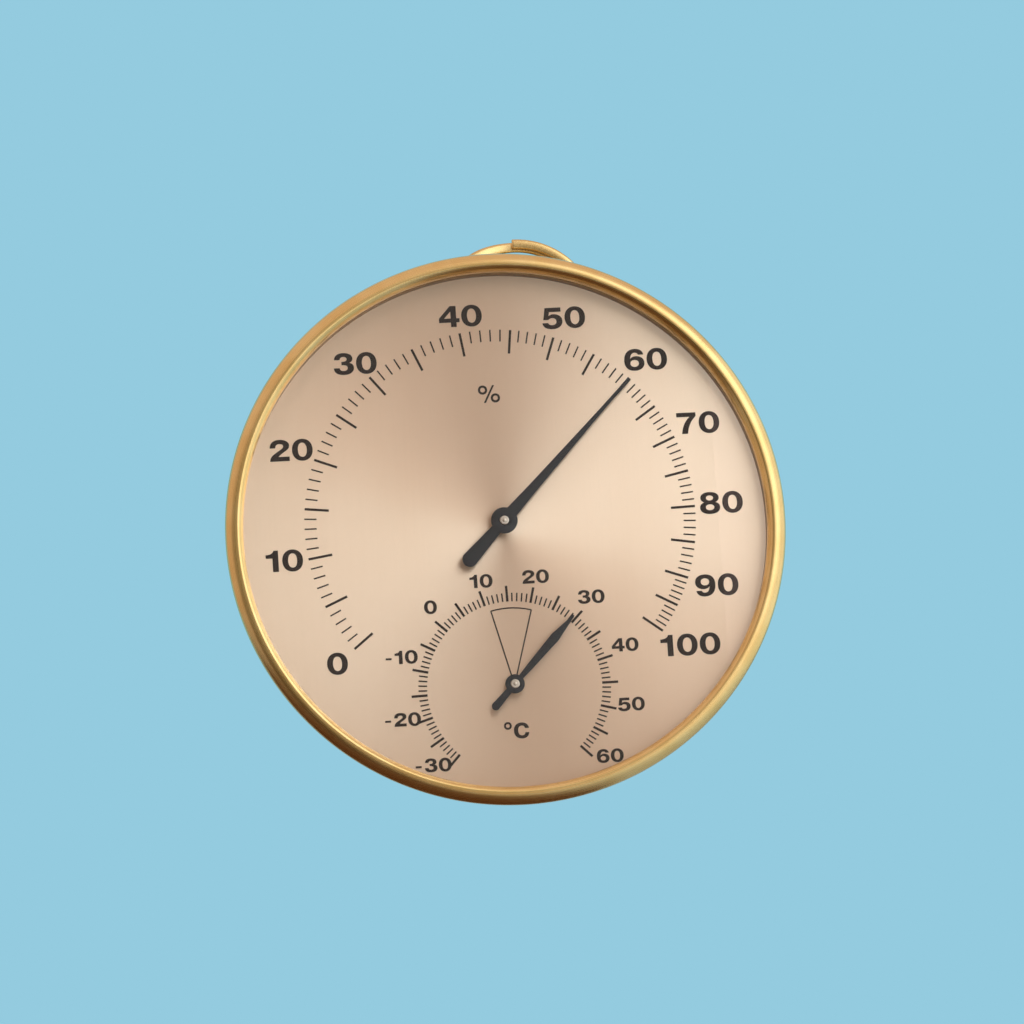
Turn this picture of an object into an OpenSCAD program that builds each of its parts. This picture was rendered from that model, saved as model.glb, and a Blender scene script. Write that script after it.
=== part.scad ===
// Dial thermo-hygrometer for a wall or a room.
// The origin is on the wall, behind the centre of the round case. +Z is up and the dial faces -Y.
// Every piece is drawn lying down, with its height measured from the wall towards the reader,
// and stand() sets it upright. Angles on the dial run clockwise from twelve o'clock.

/* [Case] */
// Outer diameter over the bezel bead
case_d = 130; // [120:1:150]
// Depth from the wall to the front of the bezel
case_depth = 19; // [18.5:0.1:26]
// Width of the half-round bezel bead
bezel_w = 4.2; // [3.6:0.1:5.4]
// Sheet thickness of the bezel
bezel_sheet = 0.7; // [0.5:0.05:0.9]
// How far the bead stands out past the skirt behind it
bead_overhang = 1.8; // [1.4:0.1:2]
// Straight lip from the middle of the bead down to the glass
lip_drop = 0.9; // [0.4:0.1:1.5]

/* [Glass, spacer and dial] */
// Thickness of the glass
glass_t = 1.6; // [1:0.1:2.2]
// Thickness of the gasket under the glass
gasket_t = 0.5; // [0.3:0.1:0.8]
// Width of the gasket
gasket_w = 1.3; // [0.8:0.1:1.4]
// Height of the spacer ring between dial and gasket
spacer_h = 2.9; // [2.7:0.1:3.5]
// Width of the spacer ring
spacer_w = 1.6; // [1:0.1:1.6]
// Thickness of the dial plate
dial_t = 0.8; // [0.5:0.1:1]

/* [Back pan] */
// Sheet thickness of the pan
pan_sheet = 0.8; // [0.5:0.05:1]
// Gap between the pan's wall and the bezel's crimped edge
crimp_gap = 0.3; // [0.2:0.1:0.8]
// Width of the bezel edge crimped behind the pan's flange
crimp_w = 1.8; // [1:0.1:2.4]
// Height of the step between the wall face and the rest of the back
back_step = 4.4; // [4.4:0.1:5.4]
// Radius of the raised wall face
foot_r = 38; // [37.5:0.5:40]
// How far the middle of the wall face lies below the case's middle
foot_drop = 14; // [13.5:0.5:16]
// Draft of the step's side
foot_draft = 1.5; // [0.5:0.1:2]
// Chamfer round the back edge
back_chamfer = 1.2; // [0.6:0.1:2]
// Number of round vents in the wall face
vent_count = 12; // [4:8:12]
// Radius of a vent
vent_r = 1.8; // [1:0.1:2.2]
// Distance from the middle of the wall face to the vents
vent_ring_r = 33.5; // [33:0.1:34]

/* [Hanging ring] */
// Mean radius of the split ring
ring_r = 17.6; // [14:0.1:19]
// Width of the ring's wire across the ring
wire_w = 2.4; // [1.4:0.1:2.4]
// Thickness of each of the two turns
wire_t = 1; // [0.7:0.05:1.1]
// Gap between the two turns
turn_gap = 0.06; // [0.05:0.01:0.1]
// Angle over which the wire passes from one turn to the other
jog_angle = 40; // [20:1:45]
// Place of the front end of the wire, clockwise from the side away from the strap
wire_end_angle = -25; // [-60:1:60]
// Height of the strap's tunnel above the case's middle
eye_height = 36.6; // [36:0.1:39]
// Lean of the ring to the right, about the tunnel
ring_lean = 24; // [0:1:25]
// Lean of the ring towards the case, so that it rests on the back
ring_rest_lean = 1.2; // [0.5:0.1:1.4]
// Width of the strap
strap_w = 5; // [3:0.1:6]
// Sheet thickness of the strap
strap_sheet = 0.7; // [0.5:0.05:0.8]
// Length of each riveted foot of the strap
strap_foot = 5.2; // [4.6:0.1:6]
// Room above the wire's middle inside the strap
tunnel_up = 3.2; // [3.1:0.1:3.6]
// Room below the wire's middle inside the strap
tunnel_down = 2.9; // [2.8:0.1:3.2]
// Gap between the strap and the wall
strap_wall_gap = 0.3; // [0.2:0.05:0.4]
// Gap between the strap's lower foot and the step, where the step comes that near
strap_step_gap = 0.5; // [0.3:0.1:0.8]
// Radius of a rivet's shank
rivet_r = 0.8; // [0.5:0.1:1]
// Radius of a rivet's head
rivet_head_r = 1.5; // [1.2:0.1:1.8]
// Height of a rivet's head
rivet_head_h = 0.6; // [0.4:0.1:0.8]

/* [Humidity scale] */
// Height of the humidity pivot above the case's middle
hygro_up = 2.4; // [0:0.1:5]
// Dial angle of 0 per cent
hygro_zero_angle = -128.4; // [-135:0.1:-120]
// Reading in per cent at which the dry part of the scale ends
hygro_dry_end = 45; // [45:1:55]
// Reading in per cent at which the middle part of the scale ends
hygro_mid_end = 60; // [58:1:68]
// Reading in per cent at which the damp part of the scale ends
hygro_damp_end = 90; // [85:1:95]
// Reading in per cent at the end of the scale
hygro_full = 100; // [96:1:100]
// Degrees of turn per per cent in the dry part
hygro_rate_dry = 3; // [2.7:0.01:3]
// Degrees of turn per per cent in the middle part
hygro_rate_mid = 2.58; // [2.2:0.01:2.7]
// Degrees of turn per per cent in the damp part
hygro_rate_damp = 2.16; // [1.9:0.01:2.3]
// Degrees of turn per per cent in the wet part
hygro_rate_wet = 1.76; // [1.5:0.01:2]
// Reading in per cent at rest
hygro_reading = 59.6; // [20:0.1:90]
// Outer radius of the humidity ticks
hygro_tick_r = 45.5; // [42:0.1:48]
// Length of a short humidity tick
hygro_tick_short = 2.8; // [1.5:0.1:4]
// Length of a long humidity tick
hygro_tick_long = 5.6; // [4:0.1:7]
// How far the middle of the humidity print lies to the left of the pivot
hygro_print_left = 0.8; // [0:0.1:1]
// How far the middle of the humidity print lies above the pivot
hygro_print_up = 0.2; // [0:0.1:1]

/* [Temperature scale] */
// Distance of the temperature pivot below the humidity pivot
thermo_down = 38.5; // [38:0.1:40]
// Dial angle of the lowest temperature
thermo_low_angle = -137.5; // [-140:0.1:-130]
// Degrees of turn per degree Celsius
thermo_rate = 3.03; // [2.8:0.01:3.05]
// Lowest temperature on the scale
thermo_low = -30; // [-30:5:-10]
// Highest temperature on the scale
thermo_high = 60; // [40:5:60]
// Reading in degrees Celsius at rest
thermo_reading = 29.8; // [0:0.1:38]
// Inner radius of the temperature ticks
thermo_tick_r = 20.3; // [19.4:0.1:20.4]
// Length of a short temperature tick
thermo_tick_short = 2; // [0.8:0.1:2.4]
// Length of a long temperature tick
thermo_tick_long = 3.7; // [2.4:0.1:3.8]
// How far the middle of the temperature print lies below the pivot
thermo_print_drop = 0.6; // [0:0.1:1]
// Radius of the comfort sector
comfort_r = 18.3; // [15:0.1:18.6]
// Dial angle at which the comfort sector starts
comfort_start = -14; // [-30:0.5:-5]
// Dial angle at which the comfort sector ends
comfort_end = 16; // [5:0.5:30]

/* [Print] */
// Height of the printed ink
ink_t = 0.06; // [0.04:0.01:0.1]
// Width of a short tick
tick_w_short = 0.33; // [0.15:0.01:0.35]
// Width of a long tick
tick_w_long = 0.55; // [0.3:0.01:0.6]
// Width of the comfort sector's line
comfort_line = 0.3; // [0.2:0.01:0.4]

/* [Humidity pointer] */
// Distance from pivot to tip
hygro_tip_r = 44.9; // [38:0.1:45]
// Radius of the round middle
hygro_boss_r = 3.1; // [2.7:0.1:3.6]
// Width of the blade at the middle
hygro_blade_root = 2.9; // [2:0.05:3.2]
// Width of the blade at its tip
hygro_blade_tip = 0.8; // [0.5:0.05:1.4]
// Distance from pivot to the middle of the tail weight
hygro_tail_r = 12.2; // [9:0.1:14]
// Radius of the tail weight
hygro_tail_end = 1.8; // [1.4:0.05:2.4]
// Width of the tail bar
hygro_tail_w = 2.4; // [1.2:0.05:2.6]
// Thickness of the pointer
hygro_pointer_t = 0.35; // [0.25:0.05:0.5]

/* [Temperature pointer] */
// Distance from pivot to tip
thermo_tip_r = 21.2; // [18:0.1:21.4]
// Radius of the round middle
thermo_boss_r = 2.25; // [2.1:0.05:2.8]
// Width of the blade at the middle
thermo_blade_root = 1.2; // [0.6:0.05:1.4]
// Greatest width of the blade
thermo_blade_max = 2.2; // [1.4:0.05:2.6]
// Distance from pivot to the widest place
thermo_blade_max_r = 14.5; // [11:0.1:16]
// Width of the blade at its tip
thermo_blade_tip = 0.45; // [0.3:0.05:0.8]
// Distance from pivot to the middle of the tail weight
thermo_tail_r = 6.9; // [5:0.1:9]
// Radius of the tail weight
thermo_tail_end = 0.95; // [0.7:0.05:1.3]
// Width of the tail bar
thermo_tail_w = 1.4; // [0.7:0.05:1.4]
// Thickness of the pointer
thermo_pointer_t = 0.3; // [0.2:0.05:0.4]

/* [Pointer hubs] */
// Radius of the brass sleeve that shows in the pointer
sleeve_r = 1.07; // [0.95:0.01:1.15]
// How far the sleeve stands out of the pointer
sleeve_proud = 0.25; // [0.1:0.05:0.4]
// Height of the hub's shoulder under the pointer
shoulder_h = 0.9; // [0.6:0.05:1]
// Radius of the humidity hub's shoulder
hygro_shoulder_r = 1.9; // [1.5:0.05:2.4]
// Radius of the temperature hub's shoulder
thermo_shoulder_r = 1.6; // [1.4:0.05:1.9]

/* [Humidity movement] */
// Radius of the bush
hygro_bush_r = 2.2; // [1.8:0.05:2.4]
// Radius of the bush's front flange
hygro_bush_flange_r = 2.7; // [2.5:0.05:3]
// Thickness of the bush's front flange
hygro_bush_flange_t = 0.5; // [0.3:0.05:0.5]
// Length of the bush behind the dial
hygro_bush_back = 3.2; // [3.1:0.05:3.5]
// Thickness of the bush nut
hygro_nut_t = 1.4; // [1:0.05:1.5]
// Radius over the corners of the bush nut
hygro_nut_r = 3.7; // [3.4:0.05:4.2]
// Thickness of the spring washer
washer_t = 0.4; // [0.25:0.05:0.45]
// Outer radius of the spring washer
washer_r = 3.6; // [3.3:0.05:4]
// Thickness of the regulator lever
lever_t = 0.8; // [0.5:0.05:0.8]
// Outer radius of the lever's ring
lever_ring_r = 4.3; // [4:0.05:5]
// Width of the lever's arm
lever_w = 2.4; // [2:0.05:3]
// Dial angle of the lever
lever_angle = 60; // [50:1:65]
// Distance from the pivot to the lever's screwdriver slot
lever_slot_r = 20; // [18.5:0.1:21]
// Radius of the pad at the lever's end
lever_pad_r = 2.6; // [2.2:0.05:3]
// Width of the screwdriver slot
driver_slot_w = 0.8; // [0.5:0.05:1]
// Distance from each end of the screwdriver slot to the pad's edge
driver_slot_edge = 0.8; // [0.6:0.05:1]
// How far the lever's pad reaches past each side of the curved window behind it
window_edge = 0.8; // [0.6:0.05:1]
// Turn by which the window is longer than the slot's travel, at each end
window_spare_turn = 6; // [4:1:8]
// Turn of the lever to each side
lever_turn = 12; // [5:1:12]
// Radius of the humidity arbor
hygro_arbor_r = 0.75; // [0.65:0.05:0.85]
// Radius of the arbor's thin front end, inside the hub
hygro_spigot_r = 0.5; // [0.4:0.05:0.55]
// Width of the humidity strip
hygro_strip_w = 3.2; // [2:0.05:3.4]
// Thickness of the humidity strip
hygro_strip_t = 0.35; // [0.2:0.05:0.45]
// Number of turns of the humidity coil
hygro_turns = 5.25; // [4:0.25:6]
// Distance between turns of the humidity coil
hygro_pitch = 1.9; // [1.4:0.05:2]
// Radius of the collet under the humidity coil
hygro_collet_r = 1.7; // [1.4:0.05:2]
// Radius of the stud at the coil's outer end
hygro_stud_r = 0.9; // [0.8:0.05:1]
// Distance from the pivot to each bridge post
hygro_post_r = 17.2; // [17:0.1:18]
// Dial angle of the bridge
hygro_bridge_angle = 112; // [105:1:125]

/* [Temperature movement] */
// Radius of the bush
thermo_bush_r = 1.6; // [1.4:0.05:1.7]
// Radius of the bush's front flange
thermo_bush_flange_r = 2; // [1.9:0.05:2.1]
// Thickness of the bush's front flange
thermo_bush_flange_t = 0.4; // [0.3:0.05:0.5]
// Length of the bush behind the dial
thermo_bush_back = 1.6; // [1.5:0.05:2]
// Thickness of the bush nut
thermo_nut_t = 1.2; // [0.8:0.05:1.3]
// Radius over the corners of the bush nut
thermo_nut_r = 2.9; // [2.6:0.05:3.4]
// Radius of the temperature arbor
thermo_arbor_r = 0.6; // [0.5:0.05:0.7]
// Radius of the arbor's thin front end, inside the hub
thermo_spigot_r = 0.45; // [0.3:0.05:0.45]
// Width of the bimetal strip
thermo_strip_w = 2; // [1.4:0.05:2.4]
// Thickness of the bimetal strip
thermo_strip_t = 0.3; // [0.2:0.05:0.4]
// Number of turns of the bimetal coil
thermo_turns = 4.25; // [3:0.25:5]
// Distance between turns of the bimetal coil
thermo_pitch = 1.5; // [1.2:0.05:1.6]
// Radius of the collet under the bimetal coil
thermo_collet_r = 1.3; // [1.1:0.05:1.5]
// Radius of the stud at the bimetal coil's outer end
thermo_stud_r = 0.8; // [0.7:0.05:0.9]
// Distance from the pivot to each bridge post
thermo_post_r = 12; // [11.6:0.1:12.4]
// Dial angle of the bridge
thermo_bridge_angle = 90; // [75:1:105]

/* [Bridges] */
// Thickness of a bridge
bridge_t = 0.9; // [0.6:0.05:1]
// Width of a bridge
bridge_w = 4; // [3.2:0.1:4.6]
// Radius of a post
post_r = 1.5; // [1.2:0.05:1.8]
// Radius of a bridge screw's shank
screw_r = 0.7; // [0.5:0.05:0.8]
// Length of a bridge screw's shank inside the post
screw_grip = 2.2; // [1.5:0.1:2.6]
// How much deeper the hole in the post is than the screw
screw_hole_spare = 0.3; // [0.2:0.05:0.5]
// Radius of a bridge screw's head
screw_head_r = 1.4; // [1.2:0.05:1.7]
// Height of a bridge screw's head
screw_head_h = 0.7; // [0.4:0.05:0.7]
// Width of the slot in a bridge screw's head
screw_slot_w = 0.35; // [0.25:0.05:0.5]
// Radius of the arbors' rear pivots
pivot_r = 0.4; // [0.3:0.05:0.45]
// How far the rear pivots stand out of the bridges
pivot_proud = 0.2; // [0.1:0.05:0.3]

/* [Clearances] */
// Gap round a piece that is seated or pressed in place
fit_gap = 0.02; // [0.01:0.005:0.03]
// Gap round a turning shaft or lever
run_gap = 0.05; // [0.03:0.005:0.08]
// Gap between faces that turn past each other
face_gap = 0.1; // [0.05:0.01:0.15]
// Gap between the bush and the pointer hub, and between bridge and arbor
end_shake = 0.25; // [0.15:0.05:0.3]

/* [Hidden] */
$fn = 96;
sliver = 0.01;
case_r = case_d / 2;
bead_r = bezel_w / 2;
bead_mid_r = case_r - bead_r;
window_r = case_r - bezel_w;
skirt_r = case_r - bead_overhang;
channel_r = skirt_r - bezel_sheet;
stack_r = channel_r - fit_gap;
crimp_r = channel_r - crimp_w;
pan_r = crimp_r - crimp_gap;

bead_z = case_depth - bead_r;
glass_top = bead_z - lip_drop;
glass_low = glass_top - glass_t;
gasket_low = glass_low - gasket_t;
dial_z = gasket_low - spacer_h;
dial_back = dial_z - dial_t;
flange_low = dial_back - pan_sheet;
crimp_low = flange_low - bezel_sheet;

tunnel_low = eye_height - tunnel_down;
tunnel_high = eye_height + tunnel_up;
strap_low = tunnel_low - strap_sheet - strap_foot;
wire_z = (strap_wall_gap + strap_sheet + back_step) / 2;
ring_axial = wire_t + turn_gap;
ring_step = 4;
wire_sweep = 720 - jog_angle;
wire_chamfer = 0.22;

thermo_up = hygro_up - thermo_down;

hygro_hub_z = dial_z + hygro_bush_flange_t + end_shake;
hygro_pointer_z = hygro_hub_z + shoulder_h;
hygro_hub_top = hygro_pointer_z + hygro_pointer_t + sleeve_proud;
hygro_bush_end = dial_back - hygro_bush_back;
lever_top = dial_back - face_gap;
lever_low = lever_top - lever_t;
washer_top = lever_low - face_gap;
nut_top = washer_top - washer_t;
hygro_coil_top = hygro_bush_end - 2 * face_gap;
hygro_coil_low = hygro_coil_top - hygro_strip_w;
hygro_bridge_top = hygro_coil_low - end_shake - face_gap;
hygro_bridge_low = hygro_bridge_top - bridge_t;

thermo_hub_z = dial_z + thermo_bush_flange_t + end_shake;
thermo_pointer_z = thermo_hub_z + shoulder_h;
thermo_hub_top = thermo_pointer_z + thermo_pointer_t + sleeve_proud;
thermo_bush_end = dial_back - thermo_bush_back;
thermo_coil_top = thermo_bush_end - 2 * face_gap;
thermo_coil_low = thermo_coil_top - thermo_strip_w;
thermo_bridge_top = thermo_coil_low - end_shake - face_gap;
thermo_bridge_low = thermo_bridge_top - bridge_t;

hygro_coil_start = hygro_collet_r + hygro_strip_t / 2 + run_gap;
hygro_coil_end = hygro_coil_start + hygro_turns * hygro_pitch;
thermo_coil_start = thermo_collet_r + thermo_strip_t / 2 + run_gap;
thermo_coil_end = thermo_coil_start + thermo_turns * thermo_pitch;
spiral_steps = 48;

function clip(value, low, high) = min(max(value, low), high);
function hygro_angle(humidity) = hygro_zero_angle
    + hygro_rate_dry * min(humidity, hygro_dry_end)
    + hygro_rate_mid * (clip(humidity, hygro_dry_end, hygro_mid_end) - hygro_dry_end)
    + hygro_rate_damp * (clip(humidity, hygro_mid_end, hygro_damp_end) - hygro_mid_end)
    + hygro_rate_wet * (max(humidity, hygro_damp_end) - hygro_damp_end);
function thermo_angle(celsius) = thermo_low_angle + thermo_rate * (celsius - thermo_low);
function spiral_point(start, pitch, turn, side) =
    (start + pitch * turn + side) * [sin(360 * turn), cos(360 * turn)];
function spiral_outline(start, pitch, turns, t) = let(n = ceil(turns * spiral_steps)) concat(
    [for (i = [0:n]) spiral_point(start, pitch, turns * i / n, -t / 2)],
    [for (i = [n:-1:0]) spiral_point(start, pitch, turns * i / n, t / 2)]);

// Sets a piece drawn lying down upright, its height towards the reader
module stand() { rotate([90, 0, 0]) children(); }
// Turns clockwise on the dial
module clockwise(angle) { rotate([0, 0, -angle]) children(); }
module at_hygro() { stand() translate([0, hygro_up, 0]) children(); }
module at_thermo() { stand() translate([0, thermo_up, 0]) children(); }
module disc(r, low, high) { translate([0, 0, low]) cylinder(r = r, h = high - low); }
module ring(r_out, r_in, low, high) {
    difference() {
        disc(r_out, low, high);
        disc(r_in, low - sliver, high + sliver);
    }
}
module band_2d(r_out, r_in) {
    difference() {
        circle(r = r_out);
        circle(r = r_in);
    }
}

module bezel_ring() {
    color("goldenrod") stand() rotate_extrude() {
        difference() {
            translate([bead_mid_r, bead_z]) band_2d(bead_r, bead_r - bezel_sheet);
            translate([window_r - sliver, bead_z - bead_r - sliver])
                square([channel_r - window_r + sliver, bead_r + sliver]);
        }
        translate([window_r, glass_top]) square([bezel_sheet, lip_drop]);
        translate([channel_r, crimp_low])
            square([bezel_sheet, bead_z - bead_r + bezel_sheet / 2 - crimp_low]);
        translate([crimp_r, crimp_low]) square([crimp_w + bezel_sheet / 2, bezel_sheet]);
    }
}

module glass() {
    color("lightcyan", 0.35) stand() disc(stack_r, glass_low, glass_top);
}

module glass_gasket() {
    color("dimgray") stand() ring(stack_r, stack_r - gasket_w, gasket_low, glass_low);
}

module spacer_ring() {
    color("peru") stand() ring(stack_r, stack_r - spacer_w, dial_z, gasket_low);
}

module dial_plate() {
    color("tan") stand() difference() {
        disc(stack_r, dial_back, dial_z);
        translate([0, hygro_up, 0]) disc(hygro_bush_r + fit_gap, dial_back - 1, dial_z + 1);
        translate([0, thermo_up, 0]) disc(thermo_bush_r + fit_gap, dial_back - 1, dial_z + 1);
    }
}

module tick(angle, r_in, r_out, width) {
    clockwise(angle) translate([-width / 2, r_in, dial_z]) cube([width, r_out - r_in, ink_t]);
}

module hygro_ticks() {
    for (humidity = [0:hygro_full]) {
        is_long = humidity % 5 == 0;
        tick(hygro_angle(humidity),
            hygro_tick_r - (is_long ? hygro_tick_long : hygro_tick_short), hygro_tick_r,
            is_long ? tick_w_long : tick_w_short);
    }
}

module thermo_ticks() {
    for (celsius = [thermo_low:thermo_high]) {
        is_long = celsius % 5 == 0;
        tick(thermo_angle(celsius), thermo_tick_r,
            thermo_tick_r + (is_long ? thermo_tick_long : thermo_tick_short),
            is_long ? tick_w_long : tick_w_short);
    }
}

// Two straight lines from the pivot and the arc between their ends
module comfort_sector() {
    r_in = thermo_bush_flange_r + comfort_line;
    translate([0, 0, dial_z]) linear_extrude(ink_t) {
        for (angle = [comfort_start, comfort_end])
            clockwise(angle) translate([-comfort_line / 2, r_in])
                square([comfort_line, comfort_r - r_in - comfort_line / 2]);
        intersection() {
            band_2d(comfort_r, comfort_r - comfort_line);
            polygon([
                [0, 0],
                2 * comfort_r * [sin(comfort_start), cos(comfort_start)],
                2 * comfort_r * [sin(comfort_end), cos(comfort_end)]
            ]);
        }
    }
}

module dial_scale() {
    color("saddlebrown") {
        at_hygro() translate([-hygro_print_left, hygro_print_up, 0]) hygro_ticks();
        at_thermo() {
            translate([0, -thermo_print_drop, 0]) thermo_ticks();
            comfort_sector();
        }
    }
}

// Profile of the pan's round wall and bottom, taken in by a distance, up to a given height
module pan_wall_2d(inset, top) {
    low = back_step + inset;
    wall_r = pan_r - inset;
    polygon([
        [0, low], [wall_r - back_chamfer, low], [wall_r, low + back_chamfer],
        [wall_r, top], [0, top]
    ]);
}

// Raised middle of the back, taken in by a distance and kept clear of the strap's lower foot
module wall_face_step(inset) {
    h = back_step + pan_sheet;
    side = strap_w / 2 + strap_step_gap + inset;
    difference() {
        translate([0, -foot_drop, inset]) cylinder(r1 = foot_r - inset,
            r2 = foot_r - inset + foot_draft * h / back_step, h = h);
        translate([-side, strap_low - strap_step_gap - inset, -1])
            cube([2 * side, 2 * foot_r, 1 + back_step + inset]);
    }
}

module back_outside() {
    rotate_extrude() {
        pan_wall_2d(0, dial_back);
        translate([0, flange_low]) square([stack_r, pan_sheet]);
    }
    wall_face_step(0);
}

module back_inside() {
    rotate_extrude() pan_wall_2d(pan_sheet, dial_back + 1);
    wall_face_step(pan_sheet);
}

module vents() {
    for (i = [0:vent_count - 1])
        translate([0, -foot_drop, 0]) clockwise((i + 0.5) * 360 / vent_count)
            translate([0, vent_ring_r, 0]) disc(vent_r, -1, pan_sheet + 1);
}

// Curved slot through which a screwdriver reaches the regulator lever
module regulator_window() {
    half_w = lever_pad_r - window_edge;
    half_turn = lever_turn + window_spare_turn;
    translate([0, hygro_up, 0]) intersection() {
        ring(lever_slot_r + half_w, lever_slot_r - half_w, -1, pan_sheet + 1);
        translate([0, 0, -2]) linear_extrude(pan_sheet + 4) polygon([
            [0, 0],
            2 * lever_slot_r * [sin(lever_angle - half_turn), cos(lever_angle - half_turn)],
            2 * lever_slot_r * [sin(lever_angle + half_turn), cos(lever_angle + half_turn)]
        ]);
    }
}

module at_rivets() {
    for (y = [strap_low + strap_foot / 2, tunnel_high + strap_sheet + strap_foot / 2])
        translate([0, y, 0]) children();
}

module back_pan() {
    color("darkkhaki") stand() difference() {
        back_outside();
        back_inside();
        vents();
        regulator_window();
        at_rivets() disc(rivet_r + fit_gap, back_step - 1, back_step + pan_sheet + 1);
    }
}

module hanger_strap() {
    rise = back_step - strap_wall_gap;
    color("goldenrod") stand() difference() {
        union() {
            translate([-strap_w / 2, tunnel_low - strap_sheet, strap_wall_gap])
                cube([strap_w, tunnel_high - tunnel_low + 2 * strap_sheet, strap_sheet]);
            for (y = [tunnel_low - strap_sheet, tunnel_high])
                translate([-strap_w / 2, y, strap_wall_gap])
                    cube([strap_w, strap_sheet, rise]);
            for (y = [strap_low, tunnel_high])
                translate([-strap_w / 2, y, back_step - strap_sheet])
                    cube([strap_w, strap_foot + strap_sheet, strap_sheet]);
        }
        at_rivets() disc(rivet_r + fit_gap, back_step - strap_sheet - 1, back_step + 1);
    }
}

module hanger_rivets() {
    inner = back_step + pan_sheet;
    color("goldenrod") stand() at_rivets() {
        disc(rivet_head_r, back_step - strap_sheet - rivet_head_h, back_step - strap_sheet);
        disc(rivet_r, back_step - strap_sheet - sliver, inner + sliver);
        disc(rivet_head_r, inner, inner + rivet_head_h);
    }
}

// The split ring is one flat wire wound twice, passing from the front turn to the back one in the jog
function wire_axial(a) = let(u = clip((a - 360 + jog_angle) / jog_angle, 0, 1))
    ring_axial * cos(180 * u) / 2;
function wire_section() = let(a = wire_w / 2, b = wire_t / 2, c = wire_chamfer) [
    [a, b - c], [a - c, b], [c - a, b], [-a, b - c],
    [-a, c - b], [c - a, -b], [a - c, -b], [a, c - b]];
function wire_loop(a) = [for (p = wire_section())
    [(ring_r + p[0]) * sin(a + wire_end_angle),
     (ring_r + p[0]) * cos(a + wire_end_angle),
     wire_axial(a) + p[1]]];

module hanging_ring() {
    loops = ceil(wire_sweep / ring_step);
    sides = 8;
    points = [for (i = [0:loops]) each wire_loop(wire_sweep * i / loops)];
    last = loops * sides;
    walls = [for (i = [0:loops - 1], j = [0:sides - 1])
        let(k = (j + 1) % sides, here = i * sides, next = here + sides) each [
            [here + j, next + k, here + k],
            [here + j, next + j, next + k]]];
    start_cap = [for (j = [1:sides - 2]) [0, j, j + 1]];
    end_cap = [for (j = [1:sides - 2]) [last, last + j + 1, last + j]];
    color("goldenrod") stand() translate([0, eye_height, wire_z])
        clockwise(ring_lean) rotate([-ring_rest_lean, 0, 0]) translate([0, ring_r, 0])
            polyhedron(points, concat(walls, start_cap, end_cap));
}

module flanged_bush(r, flange_r, flange_t, back, bore_r) {
    difference() {
        union() {
            disc(flange_r, dial_z, dial_z + flange_t);
            disc(r, dial_back - back, dial_z + sliver);
        }
        disc(bore_r, dial_back - back - 1, dial_z + flange_t + 1);
    }
}

module hex_nut(r, bore_r, low, high) {
    difference() {
        translate([0, 0, low]) cylinder(r = r, h = high - low, $fn = 6);
        disc(bore_r, low - 1, high + 1);
    }
}

// Strip wound in a flat spiral, its outer end at the given dial angle
module coil(start, pitch, turns, t, low, high, end_angle) {
    clockwise(end_angle - 360 * turns) translate([0, 0, low])
        linear_extrude(high - low) polygon(spiral_outline(start, pitch, turns, t));
}

// Round stud with a slot along the end of the strip that it holds
module coil_stud(r, reach, t, low, high, slot_low, slot_high) {
    translate([0, reach, 0]) difference() {
        disc(r, low, high);
        translate([-2 * r, -t / 2 - 2 * run_gap, slot_low])
            cube([4 * r, t + 4 * run_gap, slot_high - slot_low]);
    }
}

// Rear pivot, body and the thinner front end on which the hub is pressed
module arbor(r, spigot_r, bridge_low, body_low, hub_low, top) {
    disc(pivot_r, bridge_low - pivot_proud, body_low + sliver);
    disc(r, body_low, hub_low);
    disc(spigot_r, hub_low - sliver, top);
}

module collet(r, bore_r, low, high) {
    difference() {
        disc(r, low, high);
        disc(bore_r, low - 1, high + 1);
    }
}

module pointer_hub(shoulder_r, bore_r, low, pointer_low, top) {
    difference() {
        union() {
            disc(shoulder_r, low, pointer_low);
            disc(sleeve_r, pointer_low - sliver, top);
        }
        disc(bore_r, low - 1, top + 1);
    }
}

// Flat pointer: round middle with a hole for the hub's sleeve, blade, tail bar and tail weight
module pointer_plate(boss_r, tail_r, tail_end, tail_w, low, t, blade) {
    difference() {
        union() {
            disc(boss_r, low, low + t);
            translate([0, 0, low]) linear_extrude(t) polygon(blade);
            translate([-tail_w / 2, -tail_r, low]) cube([tail_w, tail_r, t]);
            translate([0, -tail_r, 0]) disc(tail_end, low, low + t);
        }
        disc(sleeve_r + fit_gap, low - 1, low + t + 1);
    }
}

module bridge(post_reach, low, high) {
    difference() {
        union() {
            translate([-bridge_w / 2, -post_reach, low])
                cube([bridge_w, 2 * post_reach, high - low]);
            for (side = [-1, 1])
                translate([0, side * post_reach, 0]) disc(bridge_w / 2, low, high);
        }
        disc(pivot_r + run_gap, low - 1, high + 1);
        for (side = [-1, 1])
            translate([0, side * post_reach, 0]) disc(screw_r + fit_gap, low - 1, high + 1);
    }
}

module bridge_posts(post_reach, low) {
    for (side = [-1, 1]) translate([0, side * post_reach, 0]) difference() {
        disc(post_r, low, dial_back);
        disc(screw_r + fit_gap, low - 1, low + screw_grip + screw_hole_spare);
    }
}

module bridge_screws(post_reach, low, high) {
    for (side = [-1, 1]) translate([0, side * post_reach, 0]) {
        disc(screw_r, low - sliver, high + screw_grip);
        difference() {
            disc(screw_head_r, low - screw_head_h, low);
            translate([-2 * screw_head_r, -screw_slot_w / 2, low - screw_head_h - 1])
                cube([4 * screw_head_r, screw_slot_w, 1 + screw_head_h / 2]);
        }
    }
}

module hygro_bush() {
    color("gold") at_hygro() flanged_bush(hygro_bush_r, hygro_bush_flange_r,
        hygro_bush_flange_t, hygro_bush_back, hygro_arbor_r + run_gap);
}

module hygro_bush_nut() {
    color("gold") at_hygro() hex_nut(hygro_nut_r, hygro_bush_r + fit_gap, nut_top - hygro_nut_t, nut_top);
}

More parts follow.
